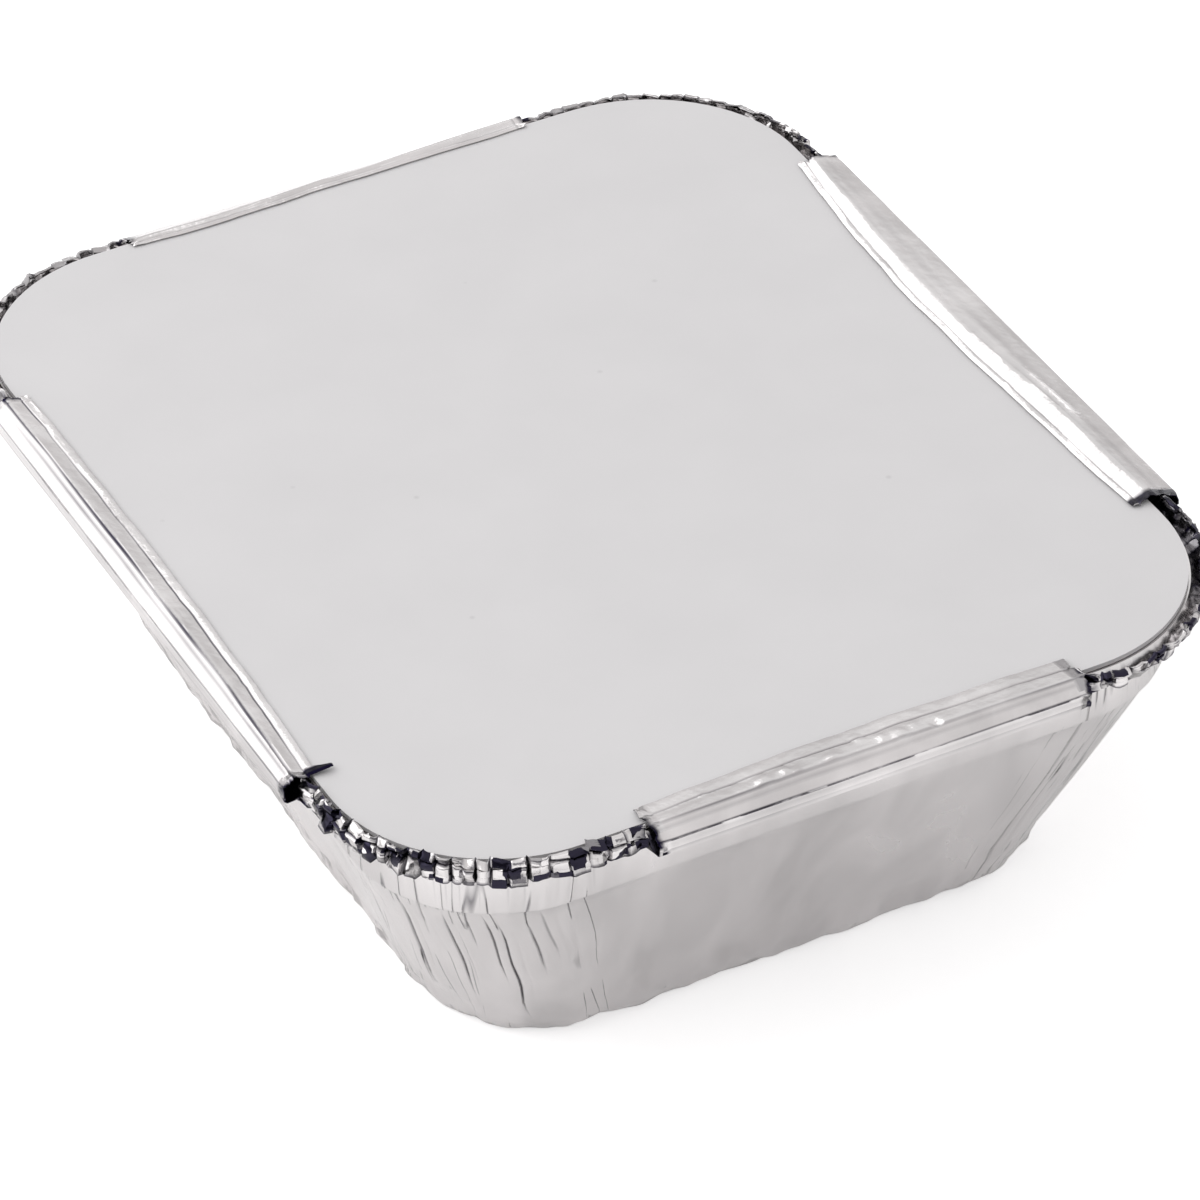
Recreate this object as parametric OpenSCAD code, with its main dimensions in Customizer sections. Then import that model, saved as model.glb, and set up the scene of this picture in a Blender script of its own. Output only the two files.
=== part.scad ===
// Foil food container: a tray pressed from one foil sheet, and the board lid that its folded tabs hold.
// X runs across the tray, Y along it and Z up from the surface it stands on.

/* [Lid] */
// Width of the board lid
lid_w = 114; // [95:1:160]
// Length of the board lid
lid_l = 137; // [115:1:220]
// Corner radius of the board lid
lid_r = 22; // [18:0.5:30]
// Thickness of the board
lid_t = 0.6; // [0.3:0.1:1.5]

/* [Foil] */
// Thickness of the foil wall
foil_t = 0.2; // [0.12:0.02:0.3]

/* [Ledge] */
// Height of the ledge that carries the lid
ledge_z = 42.4; // [30:0.2:80]
// How far the ledge reaches in under the lid
ledge_in = 1.8; // [1.2:0.1:3]
// Flat part of the ledge outside the lid
ledge_flat = 0.3; // [0.2:0.1:0.6]
// Room from the lid to the foot of the rim
rim_gap = 1.9; // [1.6:0.1:3]
// How far the foot of the rim hangs below the ledge
foot_drop = 1.7; // [1.2:0.1:1.8]

/* [Walls] */
// Height of the plain band under the ledge
band_h = 9.4; // [5:0.2:14]
// How much the band narrows on each side
band_lean = 0.4; // [0:0.1:1.2]
// Width of the step under the band
step_in = 0.7; // [0.3:0.1:1.5]
// Height of the step under the band
step_h = 0.5; // [0.3:0.1:1.5]
// Slope of the walls, in degrees from upright
wall_slope = 20.5; // [8:0.5:24]
// Corner radius of the tray at its base
base_r = 17; // [10:0.5:18]
// Rounding between the walls and the base
base_round = 2.4; // [1.2:0.1:4]
// Width of the flat ring that the tray stands on
foot_w = 4; // [2:0.5:8]
// Rise of the panel inside that ring
panel_rise = 0.8; // [0.3:0.1:2]

/* [Corner creases] */
// Depth of the upright creases in the corners of the walls
crease_d = 0.35; // [0.1:0.05:0.6]
// Wall facets from one crease to the next
crease_step = 3; // [2,3]

/* [Crimped corners] */
// Height of the crimped rim from foot to top
crimp_h = 3.1; // [2.6:0.1:5]
// Height of the hem along the top of the crimps
hem_h = 0.75; // [0.5:0.05:1.2]
// Depth of the grooves between the pleats
groove_d = 0.6; // [0.2:0.05:0.7]
// Pleats round the arc of each corner
arc_pleats = 18; // [12,15,18]
// Pleats on the straight beside each corner
side_pleats = 2; // [1,2]
// How unevenly the pleats end at the top
ragged = 0.3; // [0:0.05:0.5]
// How much lower the crimps are beside the back tab
back_low = 0.9; // [0.3:0.1:1]

/* [Folded tabs] */
// Length of the tabs on the short sides
tab_short = 58; // [40:1:62]
// Length of the tabs on the long sides
tab_long = 84; // [55:1:86]
// How far the tabs stand out from the crimped corners
tab_proud = 1.9; // [0.8:0.1:2.4]
// Height of the fold's ridge above the lid
ridge_h = 1.1; // [0.9:0.1:2]
// Reach of the fold over the lid on the right side
fold_right = 2.5; // [1.2:0.1:6]
// Reach of the fold over the lid on the left side
fold_left = 1.3; // [1.2:0.1:6]
// Reach of the fold over the lid on the front side
fold_front = 2.8; // [1.2:0.1:6]
// Reach of the fold over the lid on the back side
fold_back = 1.2; // [1.2:0.1:6]
// How much further the folds reach at the middle of the left and front sides
fold_bow = 0.5; // [0:0.1:1.5]
// The same on the right side, which is pushed in further
bow_right = 2; // [0:0.1:2.5]
// From the folded edge out to the fold's ridge, on the long sides
ridge_long = 3.2; // [2:0.1:4]
// From the folded edge out to the fold's ridge, on the front side
ridge_front = 4.6; // [2:0.1:5]
// Height of the ridge above the lid on the back side, where the fold is pressed down
press_ridge = 0.5; // [0.4:0.05:1.1]
// Height of that fold's lip above the foot of the rim
press_lip = 0.45; // [0.4:0.05:1.5]
// Room between the lid and the folded edge
fold_gap = 0.15; // [0.05:0.05:0.5]

/* [Hidden] */

half_w = lid_w / 2;
longer = (lid_l - lid_w) / 2;
centre = half_w - lid_r;
lid_top = ledge_z + lid_t;

// Places along the wall, as distances out from the middle of the long sides
ledge_inner = half_w - ledge_in;
ledge_outer = half_w + ledge_flat;
rim_out = half_w + rim_gap;
band_z = ledge_z - foil_t - band_h;
wall_z = band_z - step_h;
wall_out = ledge_inner - band_lean - step_in;
base_out = wall_out - (wall_z - base_round) * tan(wall_slope);
foot_out = base_out - base_round;
panel_out = foot_out - foot_w;
foot_z = ledge_z - foot_drop;

// Shape of the crimps and folds
foot_rise = 0.5;
waist_in = 0.3;
waist_h = 0.2;
crimp_flare = 0.35;
tab_sag = 0.3;
lip_droop = 0.17;
ridge_past_lid = 0.6;
gusset_w = 0.6;
gusset_in = 0.4;
gusset_low = 0.65;
gusset_high = 1.1;
gusset_sink = 0.3;
panel_edge = 1.2;
ragged_seed = 7;
longest_mitre = 3.5;

// Facets along the tabs, and rim facets to each wall facet there
short_facets = 4;
long_facets = 6;
tab_split = 2;
pleat_split = 3;

fold_reach = [fold_back, fold_left, fold_front, fold_right];
side_bow = [0, fold_bow, fold_bow, bow_right];
fold_ridge = [fold_back + ridge_past_lid, ridge_long, ridge_front, ridge_long];
ridge_up = [press_ridge, ridge_h, ridge_h, ridge_h];
foot_up = [0, foot_rise, foot_rise, foot_rise];
lip_z = [foot_z + press_lip, for (q = [1:3]) lid_top - lip_droop];
tab_half = [tab_short, tab_long, tab_short, tab_long] / 2;
straight_half = [centre, centre + longer, centre, centre + longer];
tab_facets = [short_facets, long_facets, short_facets, long_facets];
ragged_ends = rands(-ragged, ragged, 8 * arc_pleats, ragged_seed);

// A station is [px, py, ax, ay, kind, phase, along, side]: the corner or side that it belongs to, its
// outward direction, its kind, its place in a pleat, its place along the side and the side's number.
crimp = 0;
tab = 1;
gusset = 2;

function corner_station(q, turn, phase) =
    let (a = 90 * (q + turn))
    [sign_x(q), sign_y(q), cos(a), sin(a), crimp, phase, 0, q];

function side_station(q, f, kind, phase) =
    let (nx = -sign_pair(q)[1], ny = sign_pair(q)[0])
    [nx - ny * f, ny + nx * f, nx, ny, kind, phase, f, q];

function sign_x(q) = q == 0 || q == 3 ? 1 : -1;
function sign_y(q) = q < 2 ? 1 : -1;
function sign_pair(q) = [[1, 0], [0, 1], [-1, 0], [0, -1]][q];
function tab_end(q) = tab_half[q] / straight_half[q];
function gusset_end(q) = tab_end(q) + gusset_w / straight_half[q];

// Wall stations: one facet to a pleat round the corners, and a few along the sides
function wall_side(q) = [
    side_station(q, -1, crimp, 0),
    for (i = [0:tab_facets[q]])
        side_station(q, tab_end(q) * (2 * i / tab_facets[q] - 1), tab, 0)
];

wall_stations = [
    for (q = [0:3]) each [
        for (i = [0:arc_pleats - 1]) corner_station(q, i / arc_pleats, i % crease_step == 1 ? 1 : 0),
        each wall_side(q)
    ]
];

// Rim stations: three to a pleat, and twice the wall's along the tabs
side_steps = pleat_split * side_pleats;

function rim_side(q) = [
    for (i = [0:side_steps - 1])
        side_station(q, -1 + (1 - gusset_end(q)) * i / (side_steps - 1),
                     i == side_steps - 1 ? gusset : crimp, i % pleat_split),
    for (i = [0:tab_split * tab_facets[q]])
        side_station(q, tab_end(q) * (2 * i / (tab_split * tab_facets[q]) - 1), tab, 0),
    for (i = [1:side_steps - 1])
        side_station(q, gusset_end(q) + (1 - gusset_end(q)) * (i - 1) / (side_steps - 1),
                     i == 1 ? gusset : crimp, i % pleat_split)
];

rim_stations = [
    for (q = [0:3]) each [
        for (i = [0:pleat_split * arc_pleats - 1])
            corner_station(q, i / (pleat_split * arc_pleats), i % pleat_split),
        each rim_side(q)
    ]
];

// How many rim facets meet each wall facet, and where they start
facet_split = [
    for (q = [0:3]) each [
        for (i = [1:arc_pleats]) pleat_split,
        side_steps,
        for (i = [1:tab_facets[q]]) tab_split,
        side_steps
    ]
];
facet_start = [for (i = 0, s = 0; i < len(facet_split); s = s + facet_split[i], i = i + 1) s];

// The foil's outer face from the base to the ledge, as [out, z, corner radius, depth of creases]
function base_corner(out) = base_r + out - base_out;
function wall_row(part, crease) =
    let (out = base_out + (wall_out - base_out) * part)
    [out, base_round + (wall_z - base_round) * part,
     base_r + (wall_out - centre - base_r) * part, crease];

wall_rows = [
    [panel_out - panel_edge, panel_rise, base_corner(panel_out - panel_edge), 0],
    [panel_out, 0, base_corner(panel_out), 0],
    [foot_out, 0, base_corner(foot_out), 0],
    [base_out - 0.3 * base_round, 0.3 * base_round, base_corner(base_out - 0.3 * base_round), 0.4],
    wall_row(0, 0.8),
    wall_row(0.35, 1),
    wall_row(0.7, 1),
    wall_row(1, 0.8),
    [ledge_inner - band_lean, band_z, ledge_inner - band_lean - centre, 0.5],
    [ledge_inner, ledge_z - foil_t, ledge_inner - centre, 0]
];

// The rim's outer face from the ledge to its edge, as [out, z]
function pleat_in(phase) = phase == 0 ? groove_d : 0;

function crimp_rows(phase, uneven, lower) =
    let (d = pleat_in(phase), tall = 1 - lower / crimp_h)
    [
        [ledge_outer, ledge_z - foil_t],
        [rim_out - d, foot_z],
        [rim_out + crimp_flare / 2 - d, foot_z + tall * foot_rise],
        [rim_out + crimp_flare - d, foot_z + tall * (crimp_h - hem_h - waist_h)],
        [rim_out + crimp_flare - waist_in - d / 2, foot_z + tall * (crimp_h - hem_h)],
        [rim_out + crimp_flare - d / 2, foot_z + tall * (crimp_h + uneven)]
    ];

function tab_rows(q, f) =
    let (reach = fold_reach[q] + side_bow[q] * (1 - pow(f / tab_end(q), 2)))
    [
        [ledge_outer, ledge_z - foil_t],
        [rim_out + tab_proud / 3, foot_z - tab_sag],
        [rim_out + tab_proud, foot_z + foot_up[q]],
        [rim_out + crimp_flare + tab_proud, lip_z[q]],
        [half_w - reach + fold_ridge[q], lid_top + ridge_up[q]],
        [half_w - reach, lid_top + fold_gap + foil_t]
    ];

function gusset_rows(q, lower) = [
    [ledge_outer, ledge_z - foil_t],
    [rim_out, foot_z],
    [rim_out + crimp_flare, foot_z + foot_rise],
    [rim_out + crimp_flare + tab_proud / 2, (lip_z[q] + lid_top - lip_droop) / 2],
    [rim_out + crimp_flare, lid_top + gusset_low * ridge_up[q] - gusset_sink * lower],
    [rim_out - gusset_in, lid_top + gusset_high * ridge_up[q]]
];

// The crimps are lower where they face the back
function rim_rows(i) =
    let (s = rim_stations[i], lower = back_low * max(0, s[3]))
    s[4] == tab ? tab_rows(s[7], s[6])
    : s[4] == gusset ? gusset_rows(s[7], lower)
    : crimp_rows(s[5], ragged_ends[floor(i / pleat_split) % len(ragged_ends)], lower);

// The foil's inner face: the same line moved in by the foil's thickness
function side_normal(a, b) = let (d = (b - a) / norm(b - a)) [-d[1], d[0]];

function inner_line(p) = [
    for (i = [0:len(p) - 1])
        let (
            before = side_normal(p[max(i - 1, 0)], p[max(i, 1)]),
            after = side_normal(p[min(i, len(p) - 2)], p[min(i + 1, len(p) - 1)]),
            m = before + after
        )
        p[i] + m * min(2 * foil_t / (m * m), longest_mitre * foil_t / norm(m))
];

wall_line = [for (r = wall_rows) [r[0], r[1]]];
wall_inner = inner_line(concat([[0, panel_rise]], wall_line, [[ledge_outer, ledge_z - foil_t]]));
function rim_inner(i) = inner_line(concat([wall_line[len(wall_line) - 1]], rim_rows(i)));

function wall_point(s, out, z, r, crease) =
    let (c = r - crease * crease_d * s[5])
    [s[0] * (out - r) + s[2] * c, s[1] * (out + longer - r) + s[3] * c, z];
function rim_point(s, p) =
    [s[0] * centre + s[2] * (p[0] - centre), s[1] * (centre + longer) + s[3] * (p[0] - centre), p[1]];

wall_n = len(wall_stations);
rim_n = len(rim_stations);
wall_k = len(wall_rows);
rim_k = len(rim_rows(0));
rim_outer_lines = [for (i = [0:rim_n - 1]) rim_rows(i)];
rim_inner_lines = [for (i = [0:rim_n - 1]) rim_inner(i)];

tray_points = concat(
    [for (r = wall_rows) for (s = wall_stations) wall_point(s, r[0], r[1], r[2], r[3])],
    [for (k = [0:rim_k - 1]) for (i = [0:rim_n - 1]) rim_point(rim_stations[i], rim_outer_lines[i][k])],
    [for (k = [0:wall_k - 1]) for (s = wall_stations)
        let (p = wall_inner[k + 1], r = wall_rows[k])
        wall_point(s, p[0], p[1], r[2] + p[0] - r[0], r[3])],
    [for (k = [1:rim_k]) for (i = [0:rim_n - 1]) rim_point(rim_stations[i], rim_inner_lines[i][k])],
    [[0, 0, panel_rise], [0, 0, panel_rise + foil_t]]
);

// Where the first ring of each run of points starts
outer_rim = wall_k * wall_n;
inner_wall = outer_rim + rim_k * rim_n;
inner_rim = inner_wall + wall_k * wall_n;
middle = inner_rim + rim_k * rim_n;

// Faces between two rings, between a wall ring and a rim ring, and over a middle point. Both faces of
// the foil are cut along the same diagonals, so that it keeps its thickness where it twists.
function turned(f, inner) = inner ? [f[0], f[2], f[1]] : f;

function ring_faces(a, b, n, inner) = [
    for (i = [0:n - 1])
        let (j = (i + 1) % n)
        each [turned([a + i, b + i, b + j], inner), turned([a + i, b + j, a + j], inner)]
];

function split_faces(wall, rim, inner) = [
    for (i = [0:wall_n - 1])
        let (j = (i + 1) % wall_n, m = facet_split[i], s = facet_start[i], half = floor(m / 2))
        each [
            for (t = [0:m - 1])
                turned([wall + (t < half ? i : j), rim + s + t, rim + (s + t + 1) % rim_n], inner),
            turned([wall + i, rim + (s + half) % rim_n, wall + j], inner)
        ]
];

function skin_faces(wall, rim, centre_point, inner) = concat(
    [for (i = [0:wall_n - 1]) turned([centre_point, wall + i, wall + (i + 1) % wall_n], inner)],
    [for (k = [0:wall_k - 2]) each ring_faces(wall + k * wall_n, wall + (k + 1) * wall_n, wall_n, inner)],
    split_faces(wall + (wall_k - 1) * wall_n, rim, inner),
    [for (k = [0:rim_k - 2]) each ring_faces(rim + k * rim_n, rim + (k + 1) * rim_n, rim_n, inner)]
);

tray_faces = concat(
    skin_faces(0, outer_rim, middle, false),
    skin_faces(inner_wall, inner_rim, middle + 1, true),
    ring_faces(outer_rim + (rim_k - 1) * rim_n, inner_rim + (rim_k - 1) * rim_n, rim_n, false)
);

// The tray, pressed from one sheet of foil
module foil_tray() {
    color("#c8c8c4")
        polyhedron(tray_points, tray_faces, convexity = 8);
}

// The lid, a sheet of white board with round corners, flat on the ledge
module board_lid() {
    color("#dddcdd")
        translate([0, 0, ledge_z])
            linear_extrude(lid_t) {
                square([lid_w - 2 * lid_r, lid_l], center = true);
                square([lid_w, lid_l - 2 * lid_r], center = true);
                for (x = [-1, 1], y = [-1, 1])
                    translate([x * centre, y * (centre + longer)])
                        circle(lid_r, $fn = 96);
            }
}

foil_tray();
board_lid();
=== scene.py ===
import math
import bmesh
import bpy
import numpy as np
from mathutils import Matrix, Vector, noise


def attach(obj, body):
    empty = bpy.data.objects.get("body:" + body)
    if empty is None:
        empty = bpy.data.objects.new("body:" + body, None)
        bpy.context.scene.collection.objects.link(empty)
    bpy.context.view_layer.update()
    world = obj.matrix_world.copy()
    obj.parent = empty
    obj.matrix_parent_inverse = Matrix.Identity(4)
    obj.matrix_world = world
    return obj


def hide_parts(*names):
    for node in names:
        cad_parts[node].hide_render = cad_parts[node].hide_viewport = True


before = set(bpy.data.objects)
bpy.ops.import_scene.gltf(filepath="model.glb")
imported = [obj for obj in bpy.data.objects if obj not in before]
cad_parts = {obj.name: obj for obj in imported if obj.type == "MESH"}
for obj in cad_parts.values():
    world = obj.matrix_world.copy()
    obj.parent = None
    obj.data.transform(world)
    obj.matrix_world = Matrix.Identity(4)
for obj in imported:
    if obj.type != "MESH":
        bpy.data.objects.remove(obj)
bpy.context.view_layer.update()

mm = 0.001


# small helpers

def deselectAll():
    if bpy.context.object and bpy.context.object.mode != "OBJECT":
        bpy.ops.object.mode_set(mode="OBJECT")
    bpy.ops.object.select_all(action="DESELECT")


def toLinear(hexColour):
    channels = [int(hexColour[i:i + 2], 16) / 255 for i in (1, 3, 5)]
    return [c / 12.92 if c < 0.0404 else ((c + 0.055) / 1.055) ** 2.4 for c in channels] + [1]


def addNode(tree, kind, links=None, **settings):
    node = tree.nodes.new(kind)
    for name, value in settings.items():
        setattr(node, name, value)
    for name, value in (links or {}).items():
        if isinstance(value, bpy.types.NodeSocket):
            tree.links.new(value, node.inputs[name])
        else:
            node.inputs[name].default_value = value
    return node


def emptyTree(owner):
    # the node tree of a new material or world, with nothing in it yet
    owner.use_nodes = True
    owner.node_tree.nodes.clear()
    return owner.node_tree


def smooth(t):
    t = min(max(t, 0.0), 1.0)
    return t * t * (3 - 2 * t)


def wrinkle(x, y, z, size, seed):
    # soft noise, mostly between -1 and 1, with lumps of the given size in mm
    return 1.6 * noise.noise(Vector((x / size + seed, y / size - seed, z / size + 2 * seed)))


# the foil tray: one sheet, so one mesh, drawn up from the base ring by ring. all sizes are in mm.
# sides are numbered anticlockwise, which is also the way along them, and a corner as the side after it

back, left, front, right = range(4)
rightBack, leftBack, leftFront, rightFront = range(4)

foilTray = {
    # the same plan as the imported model
    "longer": 11.5,                                   # half the difference between length and width
    "cornerAt": 35.0, "crimpRadius": 24.0,            # middle and radius of the rim's corners
    "baseOut": 42.92, "baseTop": 2.4, "baseCornerRadius": 17.0,
    "wallRun": 10.93, "wallRise": 29.3, "wallOut": 54.1, "wallTop": 32.3,
    "thickness": 0.12,
    "within": (61.12, 72.62, 44.18),                  # no point lies further out or higher
    "lidClear": 43.22,                                # the tabs lie just above the lid's face

    # heights where the sheet changes: wall, band and ledge
    "wallFrom": 2, "bandFrom": 32, "swayTo": 41, "bandTo": 42,
    # waves of the sheet, as (depth, size of the lumps)
    "sway": (0.55, 9), "wallWave": (0.3, 21), "wallRipple": (0.26, 9), "flute": (0.12, 3.2),
    "bandWave": (0.04, 3), "footWave": (0.4, 6), "footRipple": (0.2, 2.2), "footBulge": (1.3, 3.4),
    "baseLift": (0.45, 7.5),
    # tickDark is painted shade in those grooves
    "bandTick": 0.12, "tickDark": 0.34,               # the deeper grooves of the crimps run on down the band

    # the crimps; four values are for right back, left back, left front, right front
    "pleatWide": (1.4, 2.7), "pleatLeast": 1.3,       # the last pleat before a tab is at least 1.3 wide
    "pleatParts": (0.0, 0.13, 0.36, 0.62, 0.87),      # lines of points across a pleat
    "grooveWide": 0.32, "grooveDeep": 0.6,
    "crimpFoot": 40.7, "crimpTall": 3.1, "faceMiddle": 41.7, "hemMiddle": 43.4,
    "hemLean": (-0.1, 0.0, -0.3, 0.95),               # how far the hem leans out
    "cornerLow": (0.0, 0.0, 0.0, 0.75),               # how much lower the crimps are
    "backLow": 1.0,                                   # and how much lower they are where they face the back
    "crimpCrush": (0.1, 0.3, 2.0),                    # crumpled all along, and more near a tab, this far

    # the tabs; four values are for back, left, front, right
    "straightHalf": (35.0, 46.5, 35.0, 46.5),
    "tabFrom": (-28.0, -43.5, -27.2, -44.0),
    "tabTo": (30.0, 42.5, 31.2, 42.0),
    "tabStep": (1.2, 1.2, 0.8, 1.2),                  # between lines of points
    "tornEnd": (0.04, 0.22, 0.45, 0.75, 1.15),        # close lines of points at the two torn ends
    "blistered": (14, 40, 0.4),                       # from, to and step of the close lines on the front tab
    "edgeWave": (0.12, 0.06, 0.12, 0.12),             # how much the folded edge wanders
    "edgeHigh": (43.3, 43.36, 43.36, 43.36),
    "edgeLift": (0.03, 0.08, 0.08, 0.08),
    "hemWide": (0.7, 1.2, 2.2, 0.9),                  # the double strip along the folded edge
    "hemRise": (0.06, 0.02, 0.3, 0.12),               # and how much it rises
    "slopeBend": (1.0, 1.0, 1.0, 1.6),                # over 1, the fold is flatter near its ridge
    # painted shade along the strip, the ridge and the lip
    "lineDark": ((0.15, 0.1, 0.1), (1.1, 1.3, 0.7), (0.45, 0.55, 0.95), (0.3, 0.1, 0.3)),  # strip, ridge, lip
    "tabCrush": (0.006, 0.18, 0.9),                   # crumpled all along, and more at its ends, this far
}

# the sheet's line from the base's raised panel up to the ledge, as (out, height)
wallLine = (
    (34.6, 0.8), (35.7, 0.62), (36.3, 0.25), (36.9, 0.06), (40.3, 0.07), (41.5, 0.42), (42.35, 1.25),
    *((foilTray["baseOut"] + foilTray["wallRun"] * t, foilTray["baseTop"] + foilTray["wallRise"] * t)
      for t in (0, .04, .08, .14, .2, .27, .34, .41, .48, .55, .62, .69, .77, .85, .93, 1)),
    (54.15, 32.35), (54.7, 32.7), (54.86, 33.2), (55.0, 37.0), (55.15, 41.5), (55.35, 42.14), (57.25, 42.2),
)

# a crimped corner from the ledge on: gutter and foot, pleated face, waist, and a hem that leans in
crimpLine = (
    (57.9, 41.75), (58.4, 41.0), (58.72, 40.6), (58.97, 40.72),
    (59.05, 40.95), (59.08, 41.2), (59.1, 41.45), (59.12, 41.7), (59.14, 41.95), (59.16, 42.2),
    (59.16, 42.42), (59.1, 42.6), (58.92, 42.72), (58.7, 42.8), (58.72, 42.9),
    (58.95, 42.98), (59.04, 43.1), (58.98, 43.25), (58.92, 43.4), (58.85, 43.55), (58.76, 43.7),
    (58.62, 43.8), (58.46, 43.82), (58.36, 43.74), (58.32, 43.6), (58.34, 43.44), (58.36, 43.28),
)

# a tab from the ledge to its outer lip: gutter, foot, outer wall with two soft creases, sharp lip
tabFoot = (
    (58.0, 41.8), (58.8, 41.0), (59.7, 40.42), (60.5, 40.36), (60.86, 40.66), (60.9, 41.3), (61.02, 41.42),
    (61.03, 42.1), (61.08, 42.62), (60.98, 42.82), (60.8, 42.9),
)
# the back tab is pressed down, so its lip lies close above its foot
pressedFoot = (
    (58.0, 41.8), (58.8, 41.0), (59.7, 40.42), (60.4, 40.34), (60.7, 40.48), (60.85, 40.62), (60.95, 40.76),
    (61.02, 40.9), (61.04, 41.05), (60.98, 41.18), (60.82, 41.28),
)
footRow = 3                                       # rows of these lines that are named further down
waistRow, hemFrom, hemTop = 13, 15, 20            # on the crimps
lipRow, ridgeRow, stripRow = 9, 16, 22            # on the tabs

# how each fold comes in over the lid, as (place along the side, folded edge, ridge, ridge height)
tabFolds = {
    back: ((-28, 56.2, 58.5, 43.62), (-8, 56.1, 57.9, 43.55), (4, 55.9, 57.5, 43.5), (18, 55.3, 57.1, 43.45),
           (30, 55.8, 57.2, 43.45)),
    left: ((-44, 55.6, 59.0, 44.0), (-30, 55.3, 58.8, 44.0), (-10, 55.2, 58.8, 44.0), (8, 55.35, 58.9, 44.0),
           (24, 55.7, 59.0, 44.0), (43, 56.5, 59.6, 44.0)),
    front: ((-27, 54.5, 58.9, 44.08), (-10, 53.9, 58.7, 44.08), (8, 53.7, 58.7, 44.08),
            (31, 54.3, 59.0, 44.08)),
    right: ((-44, 54.4, 57.4, 44.1), (-36, 53.9, 57.2, 44.1), (-22, 53.4, 56.9, 44.1),
            (-8, 52.9, 55.9, 44.05), (2, 52.7, 55.4, 44.0), (12, 52.6, 55.6, 44.05),
            (28, 53.7, 56.6, 44.1), (42, 55.1, 57.4, 44.1)),
}

# dents and blisters in the tabs, as (along, out, radius, height)
tabDents = {
    back: ((2.0, 57.4, 1.4, 0.22), (13.0, 56.8, 1.4, -0.2)),
    left: ((21.0, 57.6, 1.3, 0.26), (22.8, 57.0, 1.1, -0.22), (28.0, 57.8, 1.3, 0.24),
           (-36.0, 57.0, 1.6, 0.25), (-33.0, 57.6, 1.3, -0.2)),
    front: ((-11.6, 57.8, 1.7, 0.34), (-8.6, 57.2, 1.1, 0.28), (-7.2, 58.1, 0.8, 0.2),
            (-2.4, 57.9, 1.3, 0.26), (1.9, 56.4, 1.1, 0.2), (4.4, 57.6, 1.1, 0.32), (6.6, 57.9, 1.6, 0.38),
            (8.9, 57.3, 0.9, 0.26), (11.4, 58.3, 1.0, -0.42), (-19.0, 56.4, 1.0, 0.16)),
    right: ((-14.0, 54.6, 1.4, 0.2), (-27.0, 55.4, 1.6, -0.2), (22.0, 54.8, 1.5, 0.2),
            (33.0, 56.0, 1.4, 0.2)),
}

# the longer creases down the two front corners, as (place, top, bottom, depth)
wallCreases = {
    leftFront: ((8.0, 29, 9, 0.34), (16.4, 30, 8, 0.3), (24.0, 31, 14, 0.26), (26.5, 30, 4, 0.34),
                (29.4, 29, 16, 0.26), (32.5, 31, 20, 0.2), (20.6, 31, 23, 0.18), (12.0, 31, 24, 0.16)),
    rightFront: ((1.4, 31, 6, 0.36), (4.4, 31, 23, 0.22), (9.0, 29, 12, 0.24), (15.0, 30, 9, 0.24),
                 (24.0, 30, 12, 0.25)),
}
backCreases = 8                                   # and how many each back corner gets


def sideStation(side, along, pleat=None, part=0.0, wide=0.0, run=None):
    # a line of points on a straight side: where it is on the plan, and which way is out
    outX, outY = ((0, 1), (-1, 0), (0, -1), (1, 0))[side]
    share = along / foilTray["straightHalf"][side]
    return dict(planX=outX - outY * share, planY=outY + outX * share, outX=outX, outY=outY, side=side,
                along=along, pleat=pleat, part=part, wide=wide, run=run)


def cornerStation(corner, turned, pleat, part, wide, run):
    # a line of points on a corner, turned from its start at 0 to its end at 1
    angle = math.pi / 2 * (corner + turned)
    return dict(planX=1 if corner in (rightBack, rightFront) else -1,
                planY=1 if corner in (rightBack, leftBack) else -1,
                outX=math.cos(angle), outY=math.sin(angle), side=corner,
                along=None, pleat=pleat, part=part, wide=wide, run=run)


def drawPleat(rng):
    # how one pleat is tilted, pushed and curled
    return {"tiltSide": rng.normal(0.1, 0.2), "tiltUp": rng.normal(-0.05, 0.28), "push": rng.normal(0, 0.13),
            "curl": rng.normal(0, 0.16), "low": rng.uniform(-0.32, 0.32), "high": rng.uniform(-0.26, 0.14),
            "groove": rng.uniform(0.3, 1.0), "dark": rng.uniform(0.6, 1.0),
            "hemTilt": rng.normal(0, 0.42), "hemSide": rng.normal(0, 0.2), "hemPush": rng.normal(0, 0.1)}


def pleatStations(corner, rng):
    # the crimps, from the end of one tab round the corner to the start of the next
    last = (corner + 3) % 4
    half, tabEnd = foilTray["straightHalf"], foilTray["tabTo"][last]
    arc = math.pi / 2 * foilTray["crimpRadius"]
    before, after = half[last] - tabEnd, half[corner] + foilTray["tabFrom"][corner]
    length = before + arc + after
    edges = [0.0]
    while edges[-1] < length - foilTray["pleatLeast"]:
        edges.append(edges[-1] + rng.uniform(*foilTray["pleatWide"]))
    edges[-1] = length
    stations = []
    for start, end in zip(edges, edges[1:]):
        pleat, wide = drawPleat(rng), end - start
        for part in foilTray["pleatParts"]:
            place = start + wide * part
            run = place - before
            if place < before:
                stations.append(sideStation(last, tabEnd + place, pleat, part, wide, run))
            elif place < before + arc:
                stations.append(cornerStation(corner, run / arc, pleat, part, wide, run))
            else:
                stations.append(sideStation(corner, run - arc - half[corner], pleat, part, wide, run))
    return stations


def tabStations(side):
    start, length = foilTray["tabFrom"][side], foilTray["tabTo"][side] - foilTray["tabFrom"][side]
    torn, margin = list(foilTray["tornEnd"]), 1.7
    count = round((length - 2 * margin) / foilTray["tabStep"][side])
    middle = np.linspace(margin, length - margin, count).tolist()
    if side == front:
        first, last, step = foilTray["blistered"]
        middle = [d for d in middle if not first < d < last]
        middle = sorted(middle + np.arange(first, last + step / 2, step).tolist())
    places = torn + middle + [length - d for d in reversed(torn)]
    return [sideStation(side, start + d) for d in places]


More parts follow.
